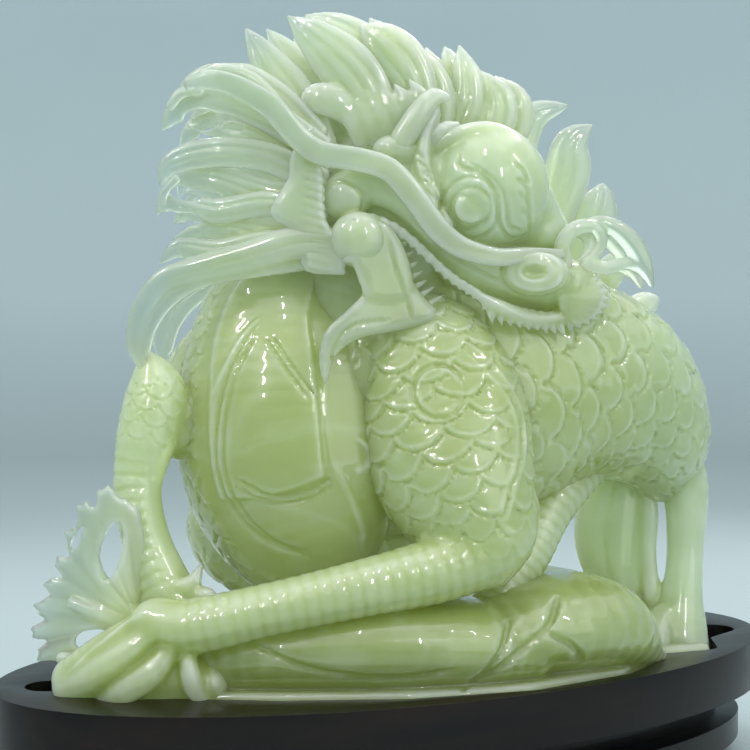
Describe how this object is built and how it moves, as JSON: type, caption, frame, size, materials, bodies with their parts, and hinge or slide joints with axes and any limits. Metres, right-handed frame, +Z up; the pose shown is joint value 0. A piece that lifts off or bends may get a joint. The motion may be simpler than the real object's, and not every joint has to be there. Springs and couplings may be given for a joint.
{
  "type": "carved jade dragon figurine on a wooden stand",
  "caption": "Carved green jade dragon crouching with its mouth open and its mane flowing, standing in the pocket of an oval dark hardwood stand.",
  "frame": {"origin": "centre of the stand at the surface that its feet rest on", "axes": "+X along the long axis of the oval stand, towards the side that the dragon faces; +Y towards the back of the carving; +Z up"},
  "size_m": [0.364, 0.182, 0.3374],
  "materials": {
    "jade": "polished",
    "pale_jade": "polished",
    "dark_wood": "satin lacquer",
    "screw_brass": "dull"
  },
  "bodies": {
    "stand": {"top_plate": "dark_wood", "waist": "dark_wood", "plinth": "dark_wood", "foot_front_left": "dark_wood", "foot_front_right": "dark_wood", "foot_rear_left": "dark_wood", "foot_rear_right": "dark_wood", "stand_screws": "screw_brass"},
    "carving": {"ground_rock": "jade", "boulder_front": "jade", "boulder_right": "jade", "boulder_rear": "jade", "torso": "jade", "chest": "jade", "neck": "jade", "haunch": "jade", "near_shoulder": "jade", "near_forearm": "jade", "near_paw": "jade", "near_claws": "jade", "far_shoulder": "jade", "far_foreleg": "jade", "elbow_frill": "pale_jade", "forward_hind_leg": "jade", "rear_hind_leg": "jade", "tail": "jade", "skull": "jade", "near_eye": "jade", "far_eye": "jade", "upper_jaw": "jade", "lower_jaw": "jade", "beard": "pale_jade", "upper_teeth": "pale_jade", "lower_teeth": "pale_jade", "near_lip_band": "pale_jade", "far_lip_band": "pale_jade", "near_cheek": "jade", "far_cheek": "jade", "near_cheek_fin": "pale_jade", "far_cheek_fin": "pale_jade", "near_horn": "pale_jade", "far_horn": "pale_jade", "near_crest": "pale_jade", "middle_crest": "pale_jade", "far_crest": "pale_jade", "nape_locks": "pale_jade", "back_flames": "pale_jade", "back_spines": "pale_jade", "near_barbel": "pale_jade", "far_barbel": "pale_jade", "near_mane": "pale_jade", "far_mane": "pale_jade", "near_long_lock": "pale_jade", "far_long_lock": "pale_jade"}
  },
  "joints": [
    {"name": "carving_lift", "type": "slide", "parent": "stand", "child": "carving", "axis": [0, 0, 1], "range_m": [0, 0.04]}
  ]
}
